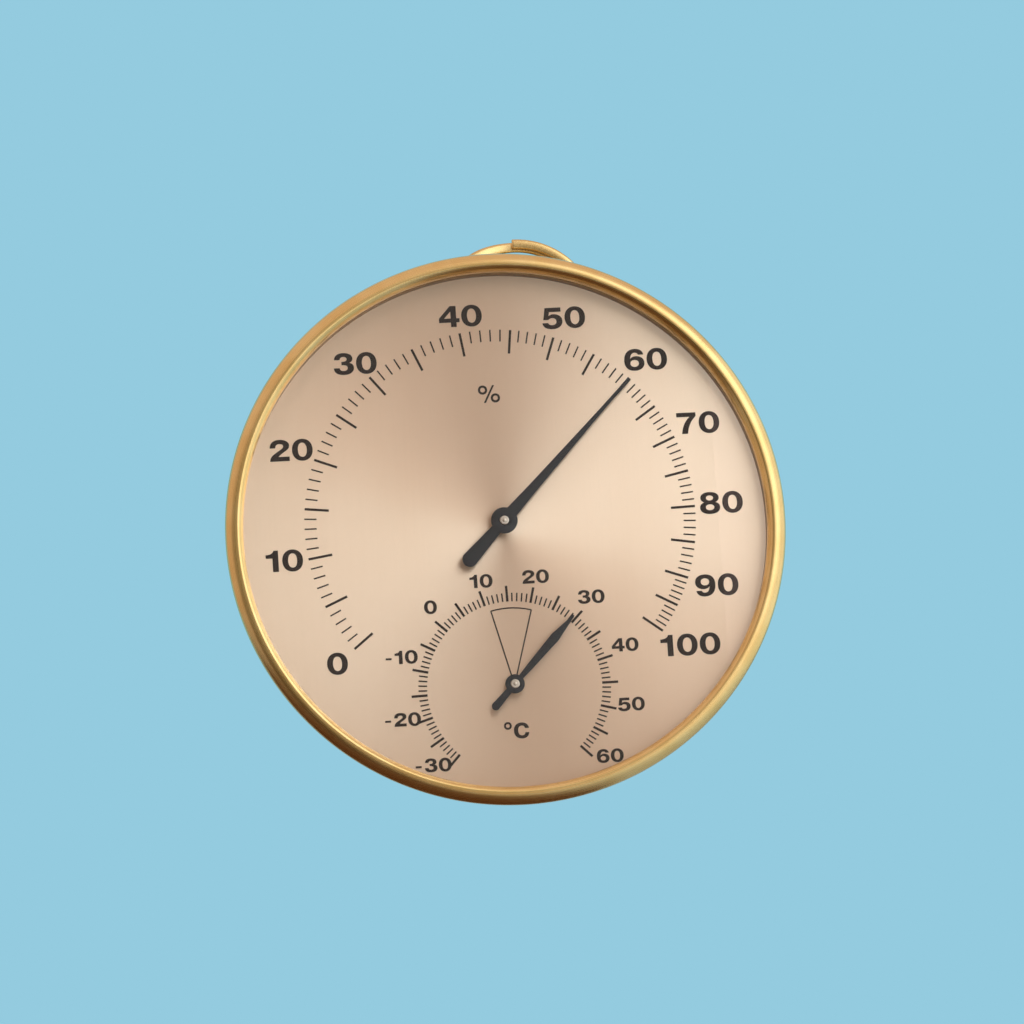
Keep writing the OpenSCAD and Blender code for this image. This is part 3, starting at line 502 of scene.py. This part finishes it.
def makeNumerals():
    ink = {"dialTop": 11.0, "thickness": 0.06}
    humidity = {
        "height": 5.0,
        "places": {"0": (-40.6, -28.9), "10": (-51.4, -4.1), "20": (-48.3, 21.9), "30": (-32.2, 41.7),
                   "40": (-7.0, 51.7), "50": (17.1, 50.1), "60": (35.6, 39.2), "70": (46.8, 23.5),
                   "80": (50.9, 4.3), "90": (48.5, -15.1), "100": (41.4, -28.8)},
    }
    temperature = {
        "height": 3.1,
        "places": {"-30": (-19.9, -53.8), "-20": (-26.3, -42.8), "-10": (-25.7, -28.2),
                   "0": (-18.3, -16.8), "10": (-6.2, -11.3), "20": (6.5, -10.9), "30": (19.1, -16.3),
                   "40": (26.2, -28.0), "50": (26.7, -42.0), "60": (21.0, -53.8)},
    }
    signs = {"percent": ((-1.5, 32.8), 4.0), "degree": ((-2.2, -46.8), 3.6), "C": ((0.9, -46.8), 3.6)}
    low, high = ink["dialTop"], ink["dialTop"] + ink["thickness"]
    for name, scale in (("humidityNumerals", humidity), ("temperatureNumerals", temperature)):
        outlines = []
        for number, (x, up) in scale["places"].items():
            outlines += numberOutlines(number, x, up, scale["height"])
        flatPiece(name, outlines, low, high, 0, finishes["dialInk"], "case")
    outlines = []
    for sign, ((x, up), height) in signs.items():
        outlines += numberOutlines([sign], x, up, height)
    flatPiece("unitSigns", outlines, low, high, 0, finishes["dialInk"], "case")


makeNumerals()
print("numerals made")


# Blade, boss and round tail in one outline, turned to the reading about the pivot
def pointerOutline(shape, angle, pivotUp):
    boss, tail, tailEnd = shape["boss"], shape["tailReach"], shape["tailEnd"]
    right = shape["blade"]
    bladeAngle = math.degrees(math.asin(right[0][0] / boss))
    tailAngle = 180 - math.degrees(math.asin(shape["tailRoot"] / boss))
    points = right + [(-half, reach) for half, reach in reversed(right)]
    points += [around(boss, -a) for a in steppedRange(bladeAngle, tailAngle, 12)]
    points += [(x, y - tail) for x, y in (around(tailEnd, -a) for a in steppedRange(80, 280, 20))]
    points += [around(boss, a) for a in steppedRange(tailAngle, bladeAngle, 12)]
    return [tuple(Vector(clockwise(x, y, angle)) + Vector((0, pivotUp))) for x, y in points]


def makePointers():
    humidity = {
        "boss": 3.1, "tailReach": 12.2, "tailEnd": 1.8, "tailRoot": 1.25,
        "blade": [(1.4, 3.2), (1.11, 10), (0.96, 15), (0.73, 24), (0.57, 30), (0.43, 36), (0.38, 41),
                  (0.42, 44.9)],
        "low": 12.65, "thick": 0.35, "edge": 0.09, "reading": 44.268, "pivotUp": 2.4,
        "shoulder": 1.9, "hubLow": 11.75, "arbor": 0.5,
    }
    temperature = {
        "boss": 2.25, "tailReach": 6.9, "tailEnd": 0.95, "tailRoot": 0.75,
        "blade": [(0.6, 2.2), (0.8, 6), (0.93, 10), (1.1, 14.5), (0.8, 16.6), (0.5, 19), (0.22, 21.2)],
        "low": 12.55, "thick": 0.3, "edge": 0.07, "reading": 43.694, "pivotUp": -36.1,
        "shoulder": 1.6, "hubLow": 11.65, "arbor": 0.45,
    }
    hub = {"sleeve": 1.07, "proud": 0.25, "round": 0.2, "edgeBreak": 0.1, "play": 0.02}
    tip = {"sunk": 0.1, "rise": 0.14, "play": 0.01}
    sleeve, rounding, edge, play = (hub[k] for k in ("sleeve", "round", "edgeBreak", "play"))
    for name, shape in (("humidity", humidity), ("temperature", temperature)):
        pivot, low, hubLow = shape["pivotUp"], shape["low"], shape["hubLow"]
        arbor, shoulder = shape["arbor"], shape["shoulder"]
        body, node = name + "_needle", "hygro" if name == "humidity" else "thermo"
        top = low + shape["thick"]
        hole = [(x, y + pivot) for x, y in (around(sleeve + play, a) for a in steppedRange(0, 352.5, 47))]
        outline = pointerOutline(shape, shape["reading"], pivot)
        flatPiece(name + "Pointer", [outline, hole], low, top, shape["edge"],
                  finishes["pointerPaint"], body, [node + "_pointer"])
        profile = [(arbor, hubLow), (shoulder - edge, hubLow), (shoulder, hubLow + edge),
                   (shoulder, low - edge), (shoulder - edge, low), (sleeve, low)]
        profile += arcPoints(sleeve - rounding, top + hub["proud"] - rounding, rounding, 0, 90, steps=6)
        profile += [(arbor, top + hub["proud"] - play)]
        points, faces = turnedShape(profile, 48, (0, pivot))
        pieceFromMesh(name + "Hub", points, faces, finishes["paleMetal"], body,
                      [node + "_pointer_hub"], 30)
        base = top + hub["proud"]
        dome = [(0, base - tip["sunk"]), (arbor - tip["play"], base - tip["sunk"])]
        dome += [(arbor * math.cos(a) - tip["play"], base + tip["rise"] * math.sin(a))
                 for a in (0.1, 0.4, 0.75, 1.1, 1.35)]
        points, faces = turnedSolid(dome + [(0, base + tip["rise"])], 32, (0, pivot))
        pieceFromMesh(name + "ArborTip", points, faces, finishes["paleMetal"], body, (), 40)


makePointers()
print("pointers made")


# Two turns of flat wire, one behind the other, with a short jog between them
def makeRing():
    ring = {
        "radius": 17.6, "wide": 2.4, "thick": 0.94, "gap": 0.06, "jog": 40, "endAngle": -25, "lean": 24,
        "restLean": 1.2, "eyeUp": 36.6, "eyeHeight": 2.7, "step": 1.5, "sides": 20, "squareness": 2.8,
        "endRound": 0.22, "endCorner": 0.3, "rearTuck": 0.55, "tuckEnd": 90,
    }
    sweep = 720 - ring["jog"]
    steps = int(sweep / ring["step"])
    rest = math.radians(ring["restLean"])

    # The wire's rounded section, smaller by the inset at its cut ends
    def section(inset):
        loop = []
        for j in range(ring["sides"]):
            a = 2 * math.pi * j / ring["sides"]
            c, s = math.cos(a), math.sin(a)
            power = 2 / ring["squareness"]
            loop.append((math.copysign(abs(c) ** power, c) * (ring["wide"] / 2 - inset),
                         math.copysign(abs(s) ** power, s) * (ring["thick"] / 2 - inset)))
        return loop

    # From a turn along the wire to a place on the dial, across and along the ring's axis
    def place(a, across, along, ahead):
        u = min(max((a - 360 + ring["jog"]) / ring["jog"], 0), 1)
        axial = (ring["thick"] + ring["gap"]) * math.cos(math.pi * u) / 2 + along
        back = min(max((a - 360 - ring["tuckEnd"]) / ring["tuckEnd"], 0), 1)
        across -= ring["rearTuck"] * (math.cos(math.pi * back) - math.cos(math.pi * u)) / 2
        x, y = around(ring["radius"] + across, a + ring["endAngle"])
        dx, dy = around(1, a + ring["endAngle"] + 90)
        x, y = x + ahead * dx, y + ahead * dy + ring["radius"]
        y, z = y * math.cos(rest) + axial * math.sin(rest), axial * math.cos(rest) - y * math.sin(rest)
        x, y = clockwise(x, y, ring["lean"])
        return onDial(x, y + ring["eyeUp"], z + ring["eyeHeight"])

    cut, corner = ring["endRound"], ring["endRound"] * ring["endCorner"]
    rows = [(0, cut, 0), (0, corner, corner), (0, 0, cut)]
    rows += [(sweep * i / steps, 0, 0) for i in range(1, steps)]
    rows += [(sweep, 0, -cut), (sweep, corner, -corner), (sweep, cut, 0)]
    points = [place(a, p, q, ahead) for a, inset, ahead in rows for p, q in section(inset)]
    count, last = ring["sides"], len(rows) - 1
    faces = [tuple(range(count)), tuple(last * count + j for j in reversed(range(count)))]
    for i in range(last):
        for j in range(count):
            k = (j + 1) % count
            faces.append((i * count + j, i * count + k, (i + 1) * count + k, (i + 1) * count + j))
    pieceFromMesh("splitRing", points, faces, finishes["wireMetal"], "ring",
                  ["hanging_ring"], 50)


makeRing()
print("hanging ring made")


# The strap is one strip, folded into a loop for the ring, its feet on the pan's step
def makeStrap():
    strap = {
        "wide": 5.0, "sheet": 0.7, "low": 0.3, "step": 4.4, "tunnel": (33.7, 39.8), "foot": 5.2,
        "bend": 0.5, "bendSteps": 8, "edge": 0.12, "footRound": 1.0,
    }
    sheet, edge, half, foot = strap["sheet"], strap["edge"], strap["wide"] / 2, strap["foot"]
    low, high = strap["tunnel"]
    foldRadius = strap["bend"] + sheet / 2
    feetHeight, loopHeight = strap["step"] - sheet / 2, strap["low"] + sheet / 2
    corners = [(low - sheet - foot, feetHeight), (low - sheet / 2, feetHeight),
               (low - sheet / 2, loopHeight), (high + sheet / 2, loopHeight),
               (high + sheet / 2, feetHeight), (high + sheet + foot, feetHeight)]
    folds = []
    for i in range(1, 5):
        before, corner, after = (Vector(corners[i + k]) for k in (-1, 0, 1))
        inwards, onwards = (before - corner).normalized(), (after - corner).normalized()
        middle = corner + (inwards + onwards) * foldRadius
        for j in range(strap["bendSteps"] + 1):
            t = math.pi / 2 * j / strap["bendSteps"]
            folds.append((middle - (onwards * math.cos(t) + inwards * math.sin(t)) * foldRadius, 0))

    # The feet's ends are rounded off, so the strip narrows over the last millimetre
    def footEnd(corner, direction):
        rows = []
        for share in (0, 0.15, 0.4, 0.7, 1):
            narrow = strap["footRound"] * (1 - math.sqrt(1 - (1 - share) ** 2))
            rows.append((Vector(corner) + Vector((direction * share * strap["footRound"], 0)), narrow))
        return rows

    # Across the strip: an oblong with broken edges, its heights in shares of half the sheet
    def section(side):
        flat = 1 - edge / sheet * 2
        return [(-side, -flat), (-side, flat), (edge - side, 1), (side - edge, 1),
                (side, flat), (side, -flat), (side - edge, -1), (edge - side, -1)]

    rows = footEnd(corners[0], 1) + folds + footEnd(corners[-1], -1)[::-1]
    points, faces, count, last = [], [], len(section(half)), len(rows) - 1
    for i, (point, narrow) in enumerate(rows):
        ahead = (rows[min(i + 1, last)][0] - rows[max(i - 1, 0)][0]).normalized()
        across = Vector((-ahead.y, ahead.x)) * sheet / 2
        for x, share in section(half - narrow):
            up, height = point + across * share
            points.append(onDial(x, up, height))
    for i in range(last):
        for j in range(count):
            k = (j + 1) % count
            faces.append((i * count + j, i * count + k, (i + 1) * count + k, (i + 1) * count + j))
    faces += [tuple(range(count)), tuple(len(points) - 1 - j for j in range(count))]
    pieceFromMesh("strapLoop", points, faces, finishes["goldMetal"], "case",
                  ["hanger_strap"], 40)


# Two rivets with a domed head at either end, outside on the strap and inside the pan
def makeRivets():
    rivet = {
        "head": 1.5, "rise": 0.6, "shank": 0.8, "outside": 3.7, "inside": 5.2, "places": (30.4, 43.1),
        "steps": 40,
    }
    head, rise, low, high = rivet["head"], rivet["rise"], rivet["outside"], rivet["inside"]
    turn = [math.radians(a) for a in steppedRange(0, 90, 8)]
    profile = [(head * math.sin(a), low - rise * math.cos(a)) for a in turn] + [(rivet["shank"], low)]
    profile += [(rivet["shank"], high)] + [(head * math.cos(a), high + rise * math.sin(a)) for a in turn]
    points, faces = [], []
    for place in rivet["places"]:
        more, moreFaces = turnedSolid(profile, rivet["steps"], (0, place))
        faces += [tuple(k + len(points) for k in face) for face in moreFaces]
        points += more
    pieceFromMesh("domedRivets", points, faces, finishes["goldMetal"], "case",
                  ["hanger_rivets"], 50)


makeStrap()
makeRivets()
print("strap and rivets made")


# Finishes on the pieces kept from the model
keptPieces = {
    "clearGlass": ["glass"],
    "gasketRubber": ["glass_gasket"],
    # The spacer ring takes the dark brown metal that paints the shade of the recess under the bezel's lip.
    "spacerPaintedShade": ["spacer_ring"],
    "dialMetal": ["dial_plate"],
    "dialInk": ["dial_scale"],
    "panMetal": ["back_pan"],
    "humidityStrip": ["hygro_coil"],
    "bimetalStrip": ["thermo_coil"],
    "steelMetal": ["hygro_washer", "hygro_arbor", "hygro_bridge_screws", "thermo_arbor",
                   "thermo_bridge_screws"],
    "brassMetal": ["hygro_bush", "hygro_bush_nut", "regulator_lever", "hygro_coil_collet", "hygro_bridge",
                   "hygro_bridge_posts", "thermo_bush", "thermo_bush_nut", "thermo_coil_collet",
                   "thermo_bridge", "thermo_bridge_posts", "thermo_coil_stud"],
}
for finish, names in keptPieces.items():
    for name in names:
        slots = nodes[name].material_slots
        for slot in slots:
            slot.material = finishes[finish]
        if not slots:
            nodes[name].data.materials.append(finishes[finish])
print("kept pieces finished")


# Matt paint or paper; flat, it shows its plain colour to the camera, in the metal and through the glass
def stageMaterial(name, colour, flat):
    material, tree, shader = newMaterial(name)
    shader.inputs["Base Color"].default_value = (*colour, 1)
    shader.inputs["Roughness"].default_value = 0.9
    if flat:
        path = addNode(tree, "ShaderNodeLightPath")
        sight, sightOrGloss = (addNode(tree, "ShaderNodeMath", operation="MAXIMUM") for _ in range(2))
        glow = addNode(tree, "ShaderNodeEmission", Strength=1.0)
        glow.inputs["Color"].default_value = (*colour, 1)
        mix = addNode(tree, "ShaderNodeMixShader")
        linkNodes(
            tree,
            (path.outputs["Is Camera Ray"], sight.inputs[0]),
            (path.outputs["Is Glossy Ray"], sight.inputs[1]),
            (sight.outputs[0], sightOrGloss.inputs[0]),
            (path.outputs["Is Transmission Ray"], sightOrGloss.inputs[1]),
            (sightOrGloss.outputs[0], mix.inputs[0]),
            (shader.outputs[0], mix.inputs[1]),
            (glow.outputs[0], mix.inputs[2]),
            (mix.outputs[0], tree.nodes["Material Output"].inputs["Surface"]),
        )
    return material


def stagePlane(name, corners, material):
    mesh = bpy.data.meshes.new(name)
    mesh.from_pydata(corners, [], [(0, 1, 2, 3)])
    obj = bpy.data.objects.new(name, mesh)
    bpy.context.scene.collection.objects.link(obj)
    mesh.materials.append(material)
    return obj


def levelCorners(left, right, front, back, height):
    return [(left, front, height), (right, front, height), (right, back, height), (left, back, height)]


def uprightCorners(left, right, depth, low, high):
    return [(left, depth, low), (right, depth, low), (right, depth, high), (left, depth, high)]


# Floor, backdrop, the surroundings' colour, and cards that are seen in the metal only
def makeStage():
    stage = {
        "colour": (0.296, 0.597, 0.738), "floorColour": (0.62, 0.74, 0.80), "floorLow": -0.5,
        "backdropBack": 1.6, "reach": 4.0, "height": 3.0,
        "worldLow": (0.56, 0.42, 0.335), "worldHigh": (0.71, 0.58, 0.56), "worldSpan": (-0.15, 0.7),
        "darkCard": (0.13, 0.055, 0.022), "dimCard": (0.64, 0.50, 0.36),
        "cardBelow": (-1.4, 0.2, -1.2, 0.5, -0.45), "cardFront": (-0.8, -0.1, -0.9, -0.44, -0.04),
        "cardFrontTop": (-0.8, 0.14, -0.9, -0.04, 0.34),
    }
    low, back, reach = stage["floorLow"], stage["backdropBack"], stage["reach"]
    stagePlane("floor", levelCorners(-reach, reach, -reach, back, low),
               stageMaterial("floorPaint", stage["floorColour"], False))
    stagePlane("backdrop", uprightCorners(-reach, reach, back, low, stage["height"]),
               stageMaterial("backdropPaint", stage["colour"], True))
    dark = stageMaterial("darkPaper", stage["darkCard"], False)
    dim = stageMaterial("dimPaper", stage["dimCard"], False)
    for name, paper, corners in (
        ("cardBelow", dark, levelCorners(*stage["cardBelow"])),
        ("cardFront", dark, uprightCorners(*stage["cardFront"])),
        ("cardFrontTop", dim, uprightCorners(*stage["cardFrontTop"])),
    ):
        card = stagePlane(name, corners, paper)
        card.visible_camera = False
        card.visible_shadow = False
        card.visible_diffuse = False
    world = bpy.data.worlds.new("studio")
    world.use_nodes = True
    bpy.context.scene.world = world
    tree = world.node_tree
    place = addNode(tree, "ShaderNodeTexCoord")
    split = addNode(tree, "ShaderNodeSeparateXYZ")
    linkNodes(tree, (place.outputs["Generated"], split.inputs[0]))
    rise = rangeBetween(tree, split.outputs["Z"], 0, 1, *stage["worldSpan"])
    sky = rampBetween(tree, rise, stage["worldLow"], stage["worldHigh"], 0, 1)
    linkNodes(tree, (sky, tree.nodes["Background"].inputs["Color"]))


# Soft boxes, placed by the turn to the right of the reader, the angle above level and the distance.
# The rim and the glass don't block them, so the dial is lit right up to its edge, as in the photo.
def makeLamps():
    lamps = {
        "keyLamp": {"azimuth": 30, "elevation": 21, "distance": 1.3, "size": (0.8, 0.9),
                    "watts": 3.15, "colour": (0.80, 1.0, 1.15)},
        "sideLamp": {"azimuth": 78, "elevation": 18, "distance": 1.3, "size": (1.6, 1.3),
                     "watts": 3.5, "colour": (0.62, 1.0, 1.3)},
        "lowLamp": {"azimuth": 30, "elevation": -10, "distance": 1.3, "size": (0.8, 0.5),
                    "watts": 0.7, "colour": (0.86, 1.0, 1.12)},
        "lowSideLamp": {"azimuth": 80, "elevation": -14, "distance": 1.3, "size": (1.6, 0.35),
                        "watts": 1.0, "colour": (0.86, 1.0, 1.0)},
    }
    clearOfRim = bpy.data.collections.new("clearOfRim")
    for piece in (bpy.data.objects["bezelBead"], nodes["glass"], nodes["glass_gasket"], nodes["spacer_ring"]):
        clearOfRim.objects.link(piece)
    for member in clearOfRim.collection_objects:
        member.light_linking.link_state = "EXCLUDE"
    for name, values in lamps.items():
        lamp = bpy.data.lights.new(name, "AREA")
        lamp.shape = "RECTANGLE"
        lamp.size, lamp.size_y = values["size"]
        lamp.energy = values["watts"]
        lamp.color = values["colour"]
        obj = bpy.data.objects.new(name, lamp)
        bpy.context.scene.collection.objects.link(obj)
        a, e = math.radians(values["azimuth"]), math.radians(values["elevation"])
        out = Vector((math.sin(a) * math.cos(e), -math.cos(a) * math.cos(e), math.sin(e)))
        obj.location = out * values["distance"]
        obj.rotation_euler = out.to_track_quat("Z", "Y").to_euler()
        obj.visible_camera = False
        obj.light_linking.blocker_collection = clearOfRim


# The photo's camera: below the dial's axis, a little to its left, and slightly rolled
def makeCamera():
    camera = {
        "azimuth": -4.3, "elevation": -10.9, "roll": 3.8, "distance": 1.8, "viewWidth": 0.2369,
        "middle": (1.4, 3.6), "facePlane": 16.9, "sensor": 36,
    }
    a, e, roll = (math.radians(camera[k]) for k in ("azimuth", "elevation", "roll"))
    back = Vector((math.sin(a) * math.cos(e), -math.cos(a) * math.cos(e), math.sin(e)))
    right = Vector((math.cos(a), math.sin(a), 0))
    up = back.cross(right)
    imageRight = right * math.cos(roll) - up * math.sin(roll)
    imageUp = right * math.sin(roll) + up * math.cos(roll)
    across, rise = camera["middle"]
    target = onDial(0, 0, camera["facePlane"]) + (imageRight * across + imageUp * rise) * mm
    data = bpy.data.cameras.new("camera")
    data.sensor_width = camera["sensor"]
    data.lens = data.sensor_width * camera["distance"] / camera["viewWidth"]
    obj = bpy.data.objects.new("camera", data)
    bpy.context.scene.collection.objects.link(obj)
    obj.location = target + back * camera["distance"]
    obj.rotation_euler = Matrix((imageRight, imageUp, back)).transposed().to_euler()
    bpy.context.scene.camera = obj


makeStage()
makeLamps()
makeCamera()
bpy.context.scene.view_settings.view_transform = "Standard"
print("stage, lamps and camera made")
